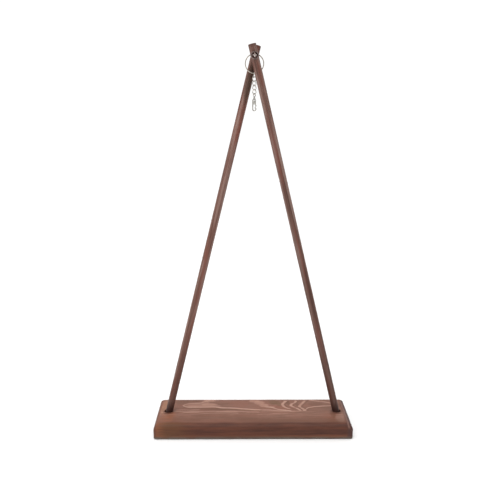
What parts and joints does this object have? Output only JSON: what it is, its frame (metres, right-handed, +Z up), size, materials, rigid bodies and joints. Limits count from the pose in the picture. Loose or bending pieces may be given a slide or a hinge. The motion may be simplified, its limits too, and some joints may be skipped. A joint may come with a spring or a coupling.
{
  "type": "wind chime stand",
  "caption": "Table-top wind chime stand: rounded walnut plank base and slim round posts that cross under a screw, with a split ring, a short curb chain and a swivel clasp to hang a chime from.",
  "frame": {"origin": "centre of the base's flat underside, on the table", "axes": "+X along the base to the foot of the front post, -Y towards the viewer and the screw's head, +Z up"},
  "size_m": [0.26, 0.08, 0.49],
  "materials": {
    "walnut_base": "satin",
    "walnut_post": "satin",
    "dark_steel": "satin",
    "zinc": "satin",
    "silver": "polished"
  },
  "bodies": {
    "stand": {"base": "walnut_base", "front_post": "walnut_post", "rear_post": "walnut_post", "pivot_screw": "dark_steel", "front_washer": "zinc", "rear_washer": "zinc", "pivot_nut": "zinc"},
    "ring": {"split_ring": "silver"},
    "joiner": {"joining_link": "silver"},
    "link_1": {"chain_link_1": "silver"},
    "link_2": {"chain_link_2": "silver"},
    "link_3": {"chain_link_3": "silver"},
    "link_4": {"chain_link_4": "silver"},
    "swivel": {"swivel_eye": "silver"},
    "clasp": {"clasp_body": "silver", "trigger_pin": "zinc", "trigger_spring": "zinc"},
    "trigger": {"clasp_trigger": "silver"}
  },
  "joints": [
    {"name": "ring_swing", "type": "hinge", "parent": "stand", "child": "ring", "pos_m": [0, 0, 0.476], "axis": [0, -1, 0], "range_deg": [-3, 3]},
    {"name": "joiner_swing", "type": "hinge", "parent": "ring", "child": "joiner", "pos_m": [0, 0, 0.45645], "axis": [1, 0, 0], "range_deg": [-15, 15]},
    {"name": "link_1_swing", "type": "hinge", "parent": "joiner", "child": "link_1", "pos_m": [0, 0, 0.4515], "axis": [0.7071, -0.7071, 0], "range_deg": [-25, 25]},
    {"name": "link_2_swing", "type": "hinge", "parent": "link_1", "child": "link_2", "pos_m": [0, 0, 0.44665], "axis": [0.7071, -0.7071, 0], "range_deg": [-25, 25]},
    {"name": "link_3_swing", "type": "hinge", "parent": "link_2", "child": "link_3", "pos_m": [0, 0, 0.4418], "axis": [0.7071, -0.7071, 0], "range_deg": [-25, 25]},
    {"name": "link_4_swing", "type": "hinge", "parent": "link_3", "child": "link_4", "pos_m": [0, 0, 0.43695], "axis": [0.7071, -0.7071, 0], "range_deg": [-25, 25]},
    {"name": "eye_swing", "type": "hinge", "parent": "link_4", "child": "swivel", "pos_m": [0, 0, 0.43225], "axis": [0.7071, -0.7071, 0], "range_deg": [-30, 30]},
    {"name": "clasp_turn", "type": "hinge", "parent": "swivel", "child": "clasp", "pos_m": [0, 0, 0.43225], "axis": [0, 0, 1], "continuous": true},
    {"name": "trigger_press", "type": "hinge", "parent": "clasp", "child": "trigger", "pos_m": [0.0011, 0, 0.42255], "axis": [0, 1, 0], "range_deg": [0, 16], "stiffness_Nm_per_rad": 0.003, "springref_deg": -8.59, "deforming": ["trigger_spring"]}
  ]
}
